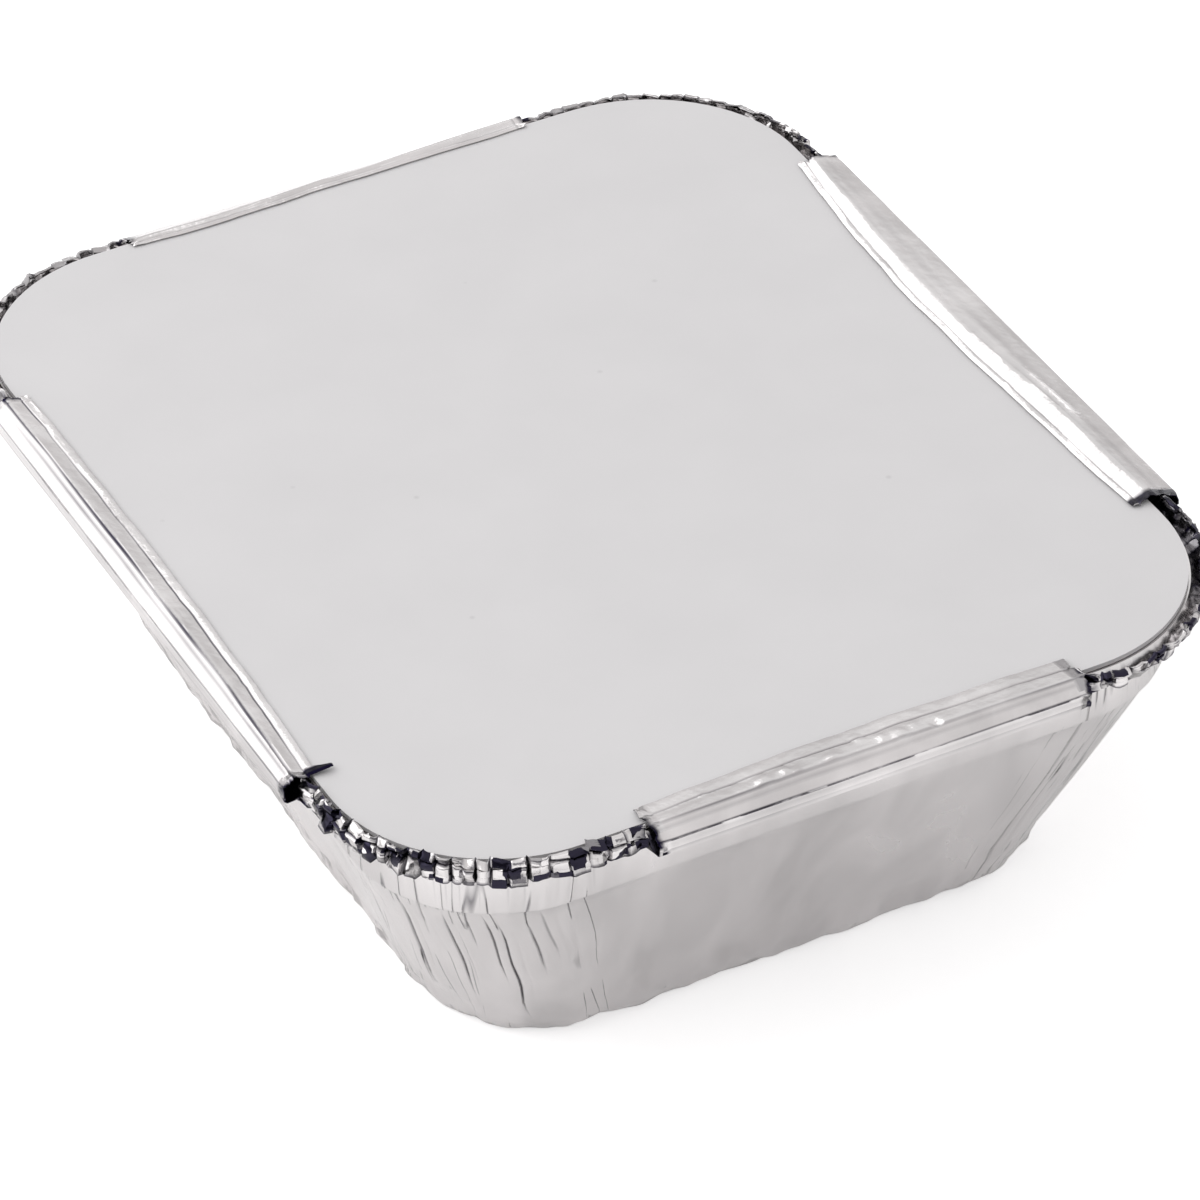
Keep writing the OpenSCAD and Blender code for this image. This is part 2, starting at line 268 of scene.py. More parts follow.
def makeStations():
    # one entry for each line of points that runs from the base up to the rim, anticlockwise
    rng = np.random.default_rng(11)
    stations = []
    for side in (back, left, front, right):
        stations += pleatStations(side, rng) + tabStations(side)
    return stations


def tabLine(side, along):
    # the tab's whole line of points, from the gutter to the folded edge on the lid
    places = np.array(tabFolds[side])
    edge, ridge, top = (float(np.interp(along, places[:, 0], places[:, k])) for k in (1, 2, 3))
    edge += foilTray["edgeWave"][side] * wrinkle(along, side, 0, 7, 3.3)
    edge += 0.05 * wrinkle(along, side, 0, 2, 1.7)
    ridge += 0.08 * wrinkle(along, side, 0, 11, 5.1)
    line = list(pressedFoot if side == back else tabFoot)

    # the outer slope, from the lip up; the right tab has a thin bent line down the middle of it
    lipOut, lipHigh = line[-1]
    bent = 0.17 * smooth((4 - along) / 6) * smooth((along + 32) / 8) if side == right else 0.0
    for t, lift in ((0.2, 0), (0.4, 0), (0.6, 0), (0.8, bent), (0.9, 0)):
        line.append((lipOut + (ridge - lipOut) * t, lipHigh + (top - lipHigh) * t + lift))

    # a narrow groove just inside the ridge, and the slope down to the strip
    line.append((ridge, top - 0.07))
    startOut, startHigh = ridge - 0.25, top - 0.02
    line.append((startOut, startHigh))
    hem, low, rise = foilTray["hemWide"][side], foilTray["edgeHigh"][side], foilTray["hemRise"][side]
    endOut, endHigh = edge + hem + 0.25, low + rise - 0.02
    for t in (0.25, 0.5, 0.75, 1):
        line.append((startOut + (endOut - startOut) * t,
                     startHigh + (endHigh - startHigh) * t ** foilTray["slopeBend"][side]))

    # the strip, from its crease to the folded edge
    line.append((edge + hem + 0.06, low + rise - 0.07))
    line.append((edge + hem - 0.14, low + rise + 0.05))
    line.append((edge + 0.5 * hem, low + 0.06 + 0.5 * rise))
    line.append((edge + 0.25, low + foilTray["edgeLift"][side]))
    line.append((edge, low - 0.04))
    return line


def sheetPoint(s, out, z, radius):
    # a point of the sheet: out is measured across the tray, and the corner keeps its own radius
    return (s["planX"] * (out - radius) + s["outX"] * radius,
            s["planY"] * (out + foilTray["longer"] - radius) + s["outY"] * radius, z)


def cornerRadius(out, z):
    # the plan's corners change from the base's radius to the rim's on the way up the wall
    base, wall, bottom = foilTray["baseOut"], foilTray["wallOut"], foilTray["baseTop"]
    atBase = foilTray["baseCornerRadius"]
    if out <= base:
        return atBase + out - base
    part = min((z - bottom) / (foilTray["wallTop"] - bottom), 1)
    atWall = atBase + (wall - foilTray["cornerAt"] - atBase) * part
    return atWall + max(out - wall, 0) if z > foilTray["wallTop"] else atWall


def cornerOf(s):
    return s["side"] if s["run"] >= 0 else (s["side"] + 1) % 4


def cornerShare(s):
    # 1 round a corner, fading to 0 along the straight sides
    if s["along"] is None:
        return 1.0
    return smooth(1 - (foilTray["straightHalf"][s["side"]] - abs(s["along"])) / 9)


def gutterShare(s):
    # 1 at the right end of the right front corner, where the gutter is widest and gets the most painted shade
    return smooth((s["outX"] - 0.72) / 0.15) if cornerOf(s) == rightFront else 0.0


def fromTabEnds(s):
    # how far a place on a straight side is from the two ends of its tab
    if s["along"] is None:
        return 99.0, 99.0
    return tuple(abs(s["along"] - foilTray[end][s["side"]]) for end in ("tabFrom", "tabTo"))


def creasePleats(stations):
    # each crease of the wall runs down from the edge of a pleat; the two back corners get theirs at random
    rng = np.random.default_rng(5)
    creases = [(corner, *crease) for corner, some in wallCreases.items() for crease in some]
    for corner in [rightBack] * backCreases + [leftBack] * backCreases:
        creases.append((corner, rng.uniform(1, 37), rng.uniform(27, 31), rng.uniform(4, 20),
                        rng.uniform(0.16, 0.3)))
    edges = [s for s in stations if s["pleat"] and s["part"] == 0]
    for corner, place, top, low, depth in creases:
        nearest = min((s for s in edges if cornerOf(s) == corner), key=lambda s: abs(s["run"] - place))
        nearest["pleat"]["crease"] = (top, low, depth)


def creaseDepth(s, z):
    # depth of the pleat's crease at this height
    top, low, depth = s["pleat"].get("crease", (0, 0, 0))
    if not low < z < top or 0.2 < s["part"] < 0.8:
        return 0.0
    share = (top - z) / (top - low)
    return depth * min(1, 6 * share, 4 * (1 - share)) * (1.0 if s["part"] == 0 else 0.4)


def wave(name, x, y, z, seed):
    depth, size = foilTray[name]
    return depth * wrinkle(x, y, z, size, seed)


def wallPoint(s, row):
    # where a point of the wall lies, and how much painted shade it gets in its crease
    out, z = wallLine[row]
    x, y, z = sheetPoint(s, out, z, cornerRadius(out, z))
    wallFrom, bandFrom, swayTo, bandTo = (foilTray[k] for k in ("wallFrom", "bandFrom", "swayTo", "bandTo"))
    corner = cornerShare(s)
    shift, lift, dark = 0.0, 0.0, 0.0
    if wallFrom < z < swayTo and s["pleat"]:
        # the creases wander sideways on their way down
        sway = wave("sway", s["run"] * 0.7, cornerOf(s) * 30, z, 17.0) * corner
        sway *= smooth((swayTo - z) / 9) * smooth((z - wallFrom) / 4)
        x, y = x - s["outY"] * sway, y + s["outX"] * sway
    if wallFrom < z < bandFrom:
        shift += wave("wallWave", x, y, z * 0.5, 4.0) + wave("wallRipple", x, y, z * 0.3, 9.0)
        shift -= corner * max(wave("flute", x, y, z * 0.1, 7.0), 0) * smooth((z - wallFrom) / 6)
        if s["pleat"]:
            depth = creaseDepth(s, z)
            shift -= depth
            # painted shade in the crease, on the pleat's edge
            dark = min(1, 2.6 * depth) if s["part"] == 0 else 0.0
    elif bandFrom <= z < bandTo:
        shift += (1 + 1.5 * corner) * wave("bandWave", x, y, z * 0.15, 2.0)
        if s["pleat"] and s["part"] == 0 and s["pleat"]["groove"] > 0.72:
            # painted shade in the grooves that run down the band
            fade = smooth((z - 33) / 8)
            shift -= foilTray["bandTick"] * fade
            dark = foilTray["tickDark"] * fade * s["pleat"]["groove"]
    if 0.2 < z < 7:
        # the foot of the wall is knocked about most, with small bulges just above the base
        shift += wave("footWave", x, y, 0, 1.0) + wave("footRipple", x, y, z, 6.0)
        depth, size = foilTray["footBulge"]
        shift += depth * max(wrinkle(x, y, 0, size, 15.0) - 0.2, 0) * math.exp(-((z - 3.5) / 1.4) ** 2)
    if out > 39.5 and z < 1.5:
        # the ring that the tray stands on isn't quite flat
        lift = max(wave("baseLift", x, y, 0, 12.0), 0)
    return (x + s["outX"] * shift, y + s["outY"] * shift, z + lift), dark


def pleated(s, row, out, z, near):
    # a point of the crimps: each pleat has its own tilt and curl, with a groove at its edges that gets
    # painted shade
    pleat, part, facesBack = s["pleat"], s["part"], max(0, s["outY"])
    away = smooth(near / 6)                       # 0 beside a tab, where the crimps don't lean
    low = foilTray["backLow"] * facesBack + foilTray["cornerLow"][cornerOf(s)] * away
    lean = foilTray["hemLean"][cornerOf(s)] * away
    across = (part - 0.5) * s["wide"]
    curl = pleat["curl"] * (4 * (part - 0.5) ** 2 - 0.4)
    groove = max(0.0, 1 - min(part, 1 - part) * s["wide"] / foilTray["grooveWide"])
    groove *= foilTray["grooveDeep"] * pleat["groove"]
    if row >= hemFrom:
        out += pleat["hemPush"] + pleat["hemSide"] * across + 0.7 * (curl - groove)
        out += pleat["hemTilt"] * (z - foilTray["hemMiddle"]) + lean
        z += pleat["high"]
    elif row >= footRow:
        out += pleat["push"] + pleat["tiltSide"] * across + curl - groove
        out += pleat["tiltUp"] * (z - foilTray["faceMiddle"]) + lean * (row - footRow) / (hemFrom - footRow)
        z += pleat["low"] * smooth((42.4 - z) / 1.2)
    else:
        out += row / footRow * (pleat["push"] - groove)
        z += row / footRow * pleat["low"]

    # painted shade in the grooves, along the waist and in the gutter under the foot
    waist = max(0.0, 1 - abs(row - waistRow) / 2)
    gutter = {footRow - 1: 0.95, footRow: 0.95, footRow + 1: 0.6}.get(row, 0.0)
    dark = max(min(groove * 2.4, 1) * math.sqrt(pleat["dark"]), waist, gutter)
    # the hems that face the back get an even painted shade, and the right front gutter more
    if row >= hemFrom:
        dark = dark * (1 - 0.6 * facesBack) + 0.34 * facesBack
        outside = smooth((out - 58.2) / 0.3) if row < hemTop else 1
        dark = max(dark, 0.7 * gutterShare(s) * outside)
    foot = foilTray["crimpFoot"]
    return out, foot + (z - foot) * (1 - low / foilTray["crimpTall"]), dark


def folded(s, row, out, z):
    # a point of a tab: soft ripples along the fold, its dents, and painted shade along its crease lines
    side, along = s["side"], s["along"]
    if row > footRow:
        ripple = 0.035 * wrinkle(along, row * 9.0, side * 3.0, 10, 1.0)
        out, z = out + ripple, z + ripple * (1.3 if row > lipRow else 0)
    if row > lipRow + 1:
        for middle, at, radius, height in tabDents[side]:
            away = math.hypot(along - middle, out - at) / radius
            if away < 1:
                z += height * (1 - away * away) ** 2
    strip, ridge, lip = foilTray["lineDark"][side]
    if side == front:
        lip *= 0.35 + 0.65 * max(smooth((-2 - along) / 12), smooth((along - 9) / 5))
    # painted shade along the foot, the outer wall's creases, the lip, the ridge and the strip
    dark = {footRow: 0.6, footRow + 2: 0.4, footRow + 4: 0.12, lipRow: lip, ridgeRow - 3: 0.45 * strip,
            ridgeRow - 1: 0.6 * ridge, ridgeRow: ridge, stripRow: strip}.get(row, 0.0)
    dark *= 0.8 + 0.5 * wrinkle(along, row * 7.0, side * 5.0, 13, 6.0)
    return out, z, min(max(dark, 0), 1)


def rimLine(s):
    # one line of points of the rim, with how much painted shade each gets and how crumpled they are
    side, onTab = s["side"], s["pleat"] is None
    fromStart, fromEnd = fromTabEnds(s)
    near = min(fromStart, fromEnd)
    allAlong, atEnd, over = foilTray["tabCrush" if onTab else "crimpCrush"]
    crush = allAlong + atEnd * math.exp(-near / over)
    crumple = max(0.0 if onTab else 0.3 - 0.12 * max(0, s["outY"]), 0.9 * math.exp(-near))
    maxX, maxY, maxZ = foilTray["within"]
    points, darks = [], []
    for row, (out, z) in enumerate(tabLine(side, s["along"]) if onTab else crimpLine):
        out, z, dark = folded(s, row, out, z) if onTab else pleated(s, row, out, z, near)
        if onTab and side == left and fromEnd < 1.5 and row >= stripRow:
            # the torn tongue of foil that lies on the lid at the left tab's front end
            reach = smooth((1.5 - fromEnd) / 0.7)
            # painted shade on the torn tongue
            dark = max(dark, min(1, 2 * reach))
            if row > stripRow + 1:
                out, z = out - 2.2 * reach, z + 0.3 * reach
        x, y, _ = sheetPoint(s, out, z, out - foilTray["cornerAt"])
        if row >= footRow:
            push = noise.noise_vector(Vector((x / 0.85, y / 0.85, z / 0.85))) * crush * 1.5
            x, y, z = x + push.x, y + push.y, z + 0.8 * push.z
        if onTab and near < 1.0 and row > footRow:
            # the torn edge is ragged along the side
            seed = side * 4.0 + (2 if fromEnd < fromStart else -2)
            ragged = 0.5 * noise.noise(Vector((row * 0.8, seed, 1.3))) * (1 - near)
            x, y = x - s["outY"] * ragged, y + s["outX"] * ragged
        if near < 3 and row < stripRow:
            # painted shade in and beside the torn end
            torn = smooth(1 - near / (0.9 if onTab else 3.0))
            dark = min(1, dark + 1.1 * torn * (0.8 + 0.6 * wrinkle(x, y, z, 1.1, 8.0)))
        if onTab and row > ridgeRow:
            z = max(z, foilTray["lidClear"])
        points.append((min(max(x, -maxX), maxX), min(max(y, -maxY), maxY), min(z, maxZ)))
        darks.append(max(dark, 0.0))
    return points, darks, crumple


def drawRings(count, rows):
    # a circle drawn up ring by ring, where each ring is one row of the sheet
    step = 0.1
    deselectAll()
    bpy.ops.mesh.primitive_circle_add(vertices=count, radius=1, fill_type="NOTHING")
    tray = bpy.context.object
    tray.name = "foilTray"
    tray.data.name = "foilTray"
    bpy.ops.object.mode_set(mode="EDIT")
    bpy.ops.mesh.select_all(action="SELECT")
    for _ in range(rows - 1):
        bpy.ops.mesh.extrude_region_move(TRANSFORM_OT_translate={"value": (0, 0, step)})
    bpy.ops.mesh.select_all(action="SELECT")
    bpy.ops.mesh.normals_make_consistent(inside=False)
    bpy.ops.object.mode_set(mode="OBJECT")

    # the line and the row that each point belongs to
    flat = np.empty(len(tray.data.vertices) * 3)
    tray.data.vertices.foreach_get("co", flat)
    flat = flat.reshape(-1, 3)
    lineOf = np.round(np.arctan2(flat[:, 1], flat[:, 0]) / (2 * math.pi / count)).astype(int) % count
    rowOf = np.round(flat[:, 2] / step).astype(int)
    return tray, lineOf, rowOf


def shapeSheet(mesh, stations, rows, lineOf, rowOf):
    # each point goes to its place on the tray, and its painted shade, crumple and place on the flat sheet are
    # kept
    count, wallRows = len(stations), len(wallLine)
    places, sheet = np.zeros((count, rows, 3)), np.zeros((count, rows, 3))
    darks, crumples = np.zeros((count, rows)), np.zeros((count, rows))
    creasePleats(stations)
    for i, s in enumerate(stations):
        for row in range(wallRows):
            places[i, row], darks[i, row] = wallPoint(s, row)
        places[i, wallRows:], darks[i, wallRows:], crumples[i, wallRows:] = rimLine(s)
        sheet[i, :, 0] = (s["run"] if s["pleat"] else s["along"]) + 60 * s["side"]
        sheet[i, :, 2] = cornerShare(s)
    sheet[:, :, 1] = places[:, :, 2]
    mesh.vertices.foreach_set("co", (places[lineOf, rowOf] * mm).ravel())
    for name, kind, slot, values in (("paintedShade", "FLOAT", "value", darks),
                                     ("crumple", "FLOAT", "value", crumples),
                                     ("sheet", "FLOAT_VECTOR", "vector", sheet)):
        mesh.attributes.new(name, kind, "POINT").data.foreach_set(
            slot, values[lineOf, rowOf].ravel().astype(np.float32))
    mesh.update()


def cutAndClose(mesh, stations, lineOf, rowOf):
    # cut each fold free of the crimps at its two ends, and close the base panel
    count, firstCut, panelHigh = len(stations), len(wallLine) + 2, 1.5 * mm
    ends = {i for i, s in enumerate(stations)
            if (s["pleat"] is None) != (stations[(i + 1) % count]["pleat"] is None)}
    bpy.ops.object.mode_set(mode="EDIT")
    bpy.ops.mesh.select_all(action="DESELECT")
    bm = bmesh.from_edit_mesh(mesh)
    for face in bm.faces:
        lines = {int(lineOf[v.index]) for v in face.verts}
        face.select = bool(min(rowOf[v.index] for v in face.verts) >= firstCut
                           and any(lines == {i, (i + 1) % count} for i in ends))
    bmesh.update_edit_mesh(mesh)
    bpy.ops.mesh.delete(type="ONLY_FACE")
    bpy.ops.mesh.select_all(action="DESELECT")
    bm = bmesh.from_edit_mesh(mesh)
    for edge in bm.edges:
        edge.select = edge.is_boundary and all(v.co.z < panelHigh for v in edge.verts)
    bmesh.update_edit_mesh(mesh)
    bpy.ops.mesh.edge_face_add()
    bpy.ops.object.mode_set(mode="OBJECT")


def shadeInside(mesh, stations, lineOf, rowOf):
    # the inner face gets painted shade: streaky behind the crimps, and darker inside the folds near their
    # open ends.
    # its points come after all those of the outer face, in the same order
    first, count = len(lineOf), len(mesh.vertices)
    paintedShade, crumple = np.empty(count, np.float32), np.empty(count, np.float32)
    mesh.attributes["paintedShade"].data.foreach_get("value", paintedShade)
    mesh.attributes["crumple"].data.foreach_get("value", crumple)
    rimRow = rowOf - len(wallLine)
    for i in np.flatnonzero(rimRow >= 0):
        s, v = stations[lineOf[i]], first + i
        if s["pleat"]:
            streak = noise.noise(Vector((lineOf[i] * 0.3, 0, 0)))
            paintedShade[v] = 0.1 + 0.4 * s["pleat"]["dark"] * (s["part"] < 0.2) + 0.25 * streak
            paintedShade[v] += 0.6 * gutterShare(s)
            crumple[v] = 0.19
        else:
            near = min(fromTabEnds(s))
            paintedShade[v] = (0.3 + 0.65 * smooth(1 - near / 6)) * (rimRow[i] < stripRow + 3 or near < 1.4)
    mesh.attributes["paintedShade"].data.foreach_set("value", paintedShade)
    mesh.attributes["crumple"].data.foreach_set("value", crumple)


def makeFoilTray():
    noise.seed_set(1)                             # without a seed the crumpling follows the clock
    stations = makeStations()
    rows = len(wallLine) + len(crimpLine)
    tray, lineOf, rowOf = drawRings(len(stations), rows)
    shapeSheet(tray.data, stations, rows, lineOf, rowOf)
    print("foil tray: sheet drawn,", len(stations), "lines of", rows, "points")
    cutAndClose(tray.data, stations, lineOf, rowOf)

    # the foil's thickness goes inwards
    wall = tray.modifiers.new("foil", "SOLIDIFY")
    wall.thickness = foilTray["thickness"] * mm
    wall.offset = -1
    bpy.ops.object.modifier_apply(modifier="foil")
    shadeInside(tray.data, stations, lineOf, rowOf)
    bpy.ops.object.shade_smooth_by_angle(angle=math.radians(30))
    return tray


# materials

def makeFoilMaterial():
    # bare rolled aluminium, annealed soft: bright satin metal that shows the studio, with fine crinkles, and
    # painted shade and painted reflections of the dark room in navy
    look = {
        "foil": "#DDDADA", "paintedShade": "#17132A", "roughness": 0.2,
        # sizes of the patterns, in mm
        "cloud": 11.0, "crinkle": 2.6, "grain": 0.35, "mottle": 1.5, "gatherAcross": 2.2, "gatherAlong": 16.0,
        "creaseAcross": 5.5, "creaseAlong": 70.0, "creaseEvery": 13.0, "facetAcross": 1.9, "facetUp": 1.3,
        # how deep they go, in mm
        "crinkleDeep": 0.12, "mottleDeep": 0.14, "gatherDeep": 0.35, "creaseDeep": 0.2, "facetDeep": 1.6,
        "grainDeep": 0.02,
        # heights between which the gathers end and the mottle begins, in mm
        "gathersEnd": (41.0, 38.0), "mottleBegins": (42.2, 43.0),
    }
    material = bpy.data.materials.new("rolledAluminiumFoil")
    tree = emptyTree(material)
    coords = addNode(tree, "ShaderNodeTexCoord").outputs["Object"]
    paintedShade = addNode(tree, "ShaderNodeAttribute", attribute_name="paintedShade").outputs["Fac"]
    crumple = addNode(tree, "ShaderNodeAttribute", attribute_name="crumple").outputs["Fac"]
    sheet = addNode(tree, "ShaderNodeAttribute", attribute_name="sheet").outputs["Vector"]
    sheetParts = addNode(tree, "ShaderNodeSeparateXYZ", {0: sheet})

    # slow clouds in the polish, fine crinkles, the rolling grain, and the mottle of the handled rim
    upright = addNode(tree, "ShaderNodeVectorMath", {0: coords, 1: (1.0, 1.0, 0.35)}, operation="MULTIPLY")
    cloud = addNode(tree, "ShaderNodeTexNoise", {"Vector": upright.outputs[0],
                                                 "Scale": 1 / (look["cloud"] * mm),
                                                 "Detail": 3.0, "Distortion": 0.6})
    crinkle = addNode(tree, "ShaderNodeTexNoise", {"Vector": coords, "Scale": 1 / (look["crinkle"] * mm),
                                                   "Detail": 3.0})
    grain = addNode(tree, "ShaderNodeTexNoise", {"Vector": coords, "Scale": 1 / (look["grain"] * mm),
                                                 "Detail": 2.0})
    mottle = addNode(tree, "ShaderNodeTexNoise", {"Vector": coords, "Scale": 1 / (look["mottle"] * mm),
                                                  "Detail": 3.0})
    onRim = addNode(tree, "ShaderNodeMapRange", {"Value": sheetParts.outputs["Y"],
                                                 "From Min": look["mottleBegins"][0],
                                                 "From Max": look["mottleBegins"][1]})

    # soft upright unevenness where the sheet gathers round the corners, in the sheet's own coordinates
    stretched = addNode(tree, "ShaderNodeVectorMath",
                        {0: sheet, 1: (1 / look["gatherAcross"], 1 / look["gatherAlong"], 0)},
                        operation="MULTIPLY")
    gather = addNode(tree, "ShaderNodeTexNoise", {"Vector": stretched.outputs[0], "Scale": 1.0,
                                                  "Detail": 2.0})
    onWall = addNode(tree, "ShaderNodeMapRange", {"Value": sheetParts.outputs["Y"],
                                                  "From Min": look["gathersEnd"][0],
                                                  "From Max": look["gathersEnd"][1]})
    gatherDepth = addNode(tree, "ShaderNodeMath", {0: sheetParts.outputs["Z"], 1: onWall.outputs["Result"]},
                          operation="MULTIPLY")

    # long thin creases down the corners: where a stretched noise passes its middle, on some of the wall only
    along = addNode(tree, "ShaderNodeVectorMath",
                    {0: sheet, 1: (1 / look["creaseAcross"], 1 / look["creaseAlong"], 0)},
                    operation="MULTIPLY")
    bend = addNode(tree, "ShaderNodeTexNoise", {"Vector": along.outputs[0], "Scale": 1.0, "Detail": 1.0,
                                                "Distortion": 0.35})
    level = addNode(tree, "ShaderNodeMath", {0: bend.outputs["Fac"], 1: 0.5}, operation="SUBTRACT")
    off = addNode(tree, "ShaderNodeMath", {0: level.outputs[0]}, operation="ABSOLUTE")
    line = addNode(tree, "ShaderNodeMapRange", {"Value": off.outputs[0], "From Min": 0.0, "From Max": 0.011,
                                                "To Min": 1.0, "To Max": 0.0})
    some = addNode(tree, "ShaderNodeTexNoise", {"Vector": coords, "Scale": 1 / (look["creaseEvery"] * mm),
                                                "Detail": 1.0})
    part = addNode(tree, "ShaderNodeMapRange", {"Value": some.outputs["Fac"], "From Min": 0.54,
                                                "From Max": 0.64})
    here = addNode(tree, "ShaderNodeMath", {0: part.outputs["Result"], 1: gatherDepth.outputs[0]},
                   operation="MULTIPLY")
    creases = addNode(tree, "ShaderNodeMath", {0: line.outputs["Result"], 1: here.outputs[0]},
                      operation="MULTIPLY")

    # the crimps are crushed into small flat facets, each tilted its own way, and two in five get a painted
    # reflection of the dark room
    crushed = addNode(tree, "ShaderNodeVectorMath",
                      {0: sheet, 1: (1 / look["facetAcross"], 1 / look["facetUp"], 0)}, operation="MULTIPLY")
    facets = addNode(tree, "ShaderNodeTexVoronoi", {"Vector": crushed.outputs[0], "Scale": 1.0,
                                                    "Randomness": 0.85}, distance="CHEBYCHEV")
    fromMiddle = addNode(tree, "ShaderNodeVectorMath",
                         {0: crushed.outputs[0], 1: facets.outputs["Position"]}, operation="SUBTRACT")
    tilt = addNode(tree, "ShaderNodeVectorMath", {0: facets.outputs["Color"], 1: (0.5, 0.5, 0.5)},
                   operation="SUBTRACT")
    slant = addNode(tree, "ShaderNodeVectorMath", {0: fromMiddle.outputs[0], 1: tilt.outputs[0]},
                    operation="DOT_PRODUCT")
    # crumple also sets how many facets get the painted reflection
    onCrimp = addNode(tree, "ShaderNodeMapRange", {"Value": crumple, "From Min": 0.15, "From Max": 0.3})
    which = addNode(tree, "ShaderNodeSeparateColor", {"Color": facets.outputs["Color"]})
    darkFacet = addNode(tree, "ShaderNodeMapRange", {"Value": which.outputs["Blue"], "From Min": 0.46,
                                                     "From Max": 0.36, "To Min": 0.0, "To Max": 0.97})

    # the darkest of the painted shade, the painted crease lines and the painted dark facets
    facetShade = addNode(tree, "ShaderNodeMath", {0: darkFacet.outputs["Result"],
                                                  1: onCrimp.outputs["Result"]}, operation="MULTIPLY")
    # painted shade along the thin creases
    creaseShade = addNode(tree, "ShaderNodeMath", {0: creases.outputs[0], 1: 0.65}, operation="MULTIPLY")
    linesToo = addNode(tree, "ShaderNodeMath", {0: paintedShade, 1: creaseShade.outputs[0]}, operation="MAXIMUM")
    darkness = addNode(tree, "ShaderNodeMath", {0: linesToo.outputs[0], 1: facetShade.outputs[0]},
                       operation="MAXIMUM")

    rough = addNode(tree, "ShaderNodeMapRange",
                    {"Value": cloud.outputs["Fac"], "From Min": 0.3, "From Max": 0.7,
                     "To Min": look["roughness"] - 0.04, "To Max": look["roughness"] + 0.08})
    tone = addNode(tree, "ShaderNodeMapRange", {"Value": cloud.outputs["Fac"], "From Min": 0.35,
                                                "From Max": 0.68, "To Min": 0.86, "To Max": 1.05})
    clean = addNode(tree, "ShaderNodeMix", {"Factor": 1.0, "A": toLinear(look["foil"]),
                                            "B": tone.outputs["Result"]},
                    data_type="RGBA", blend_type="MULTIPLY")
    # the foil is darkened towards navy where painted shade and painted reflections fall
    shade = addNode(tree, "ShaderNodeMix", {"Factor": darkness.outputs[0], "A": clean.outputs["Result"],
                                            "B": toLinear(look["paintedShade"])}, data_type="RGBA")

    # every bump goes on top of the one before
    under = {}
    for depth, strength, height in (
            ("crinkleDeep", 0.3, crinkle.outputs["Fac"]),
            ("mottleDeep", onRim.outputs["Result"], mottle.outputs["Fac"]),
            ("gatherDeep", gatherDepth.outputs[0], gather.outputs["Fac"]),
            ("creaseDeep", 0.8, creases.outputs[0]),
            ("facetDeep", onCrimp.outputs["Result"], slant.outputs["Value"]),
            ("grainDeep", 0.15, grain.outputs["Fac"])):
        bump = addNode(tree, "ShaderNodeBump", {"Height": height, "Strength": strength,
                                                "Distance": look[depth] * mm, **under})
        under = {"Normal": bump.outputs["Normal"]}
    shader = addNode(tree, "ShaderNodeBsdfPrincipled",
                     {"Base Color": shade.outputs["Result"], "Metallic": 1.0,
                      "Roughness": rough.outputs["Result"], **under})
    addNode(tree, "ShaderNodeOutputMaterial", {"Surface": shader.outputs["BSDF"]})
    return material


def makeBoardMaterial():
    # white-lined paperboard: matt, with faint fibre clouds and a few specks
    look = {"board": "#DBD9DA", "speck": "#8E8A8C",
            "fibre": 0.35, "fibreDeep": 0.03, "cloud": 14.0, "speckEvery": 9.0}    # mm
    material = bpy.data.materials.new("whiteLinedBoard")
    tree = emptyTree(material)
    coords = addNode(tree, "ShaderNodeTexCoord").outputs["Object"]
    cloud = addNode(tree, "ShaderNodeTexNoise", {"Vector": coords, "Scale": 1 / (look["cloud"] * mm),
                                                 "Detail": 4.0})
    fibre = addNode(tree, "ShaderNodeTexNoise", {"Vector": coords, "Scale": 1 / (look["fibre"] * mm),
                                                 "Detail": 3.0})
    tone = addNode(tree, "ShaderNodeMapRange", {"Value": cloud.outputs["Fac"], "From Min": 0.3,
                                                "From Max": 0.7, "To Min": 0.98, "To Max": 1.01})
    colour = addNode(tree, "ShaderNodeMix", {"Factor": 1.0, "A": toLinear(look["board"]),
                                             "B": tone.outputs["Result"]},
                     data_type="RGBA", blend_type="MULTIPLY")

    # a few faint specks: only the cells with a low random value have one
    cells = addNode(tree, "ShaderNodeTexVoronoi", {"Vector": coords, "Scale": 1 / (look["speckEvery"] * mm)})
    speck = addNode(tree, "ShaderNodeMapRange", {"Value": cells.outputs["Distance"], "From Min": 0.015,
                                                 "From Max": 0.055, "To Min": 0.2, "To Max": 0.0})
    chosen = addNode(tree, "ShaderNodeMath", {0: cells.outputs["Color"], 1: 0.45}, operation="LESS_THAN")
    specked = addNode(tree, "ShaderNodeMath", {0: speck.outputs["Result"], 1: chosen.outputs[0]},
                      operation="MULTIPLY")
    colour = addNode(tree, "ShaderNodeMix", {"Factor": specked.outputs[0], "A": colour.outputs["Result"],
                                             "B": toLinear(look["speck"])}, data_type="RGBA")

    rough = addNode(tree, "ShaderNodeMapRange", {"Value": fibre.outputs["Fac"], "From Min": 0.3,
                                                 "From Max": 0.7, "To Min": 0.6, "To Max": 0.72})
    bump = addNode(tree, "ShaderNodeBump", {"Height": fibre.outputs["Fac"], "Strength": 0.15,
                                            "Distance": look["fibreDeep"] * mm})
    shader = addNode(tree, "ShaderNodeBsdfPrincipled",
                     {"Base Color": colour.outputs["Result"], "Roughness": rough.outputs["Result"],
                      "IOR": 1.48, "Normal": bump.outputs["Normal"]})
    addNode(tree, "ShaderNodeOutputMaterial", {"Surface": shader.outputs["BSDF"]})
    return material


# studio

white = (1, 1, 1, 1)


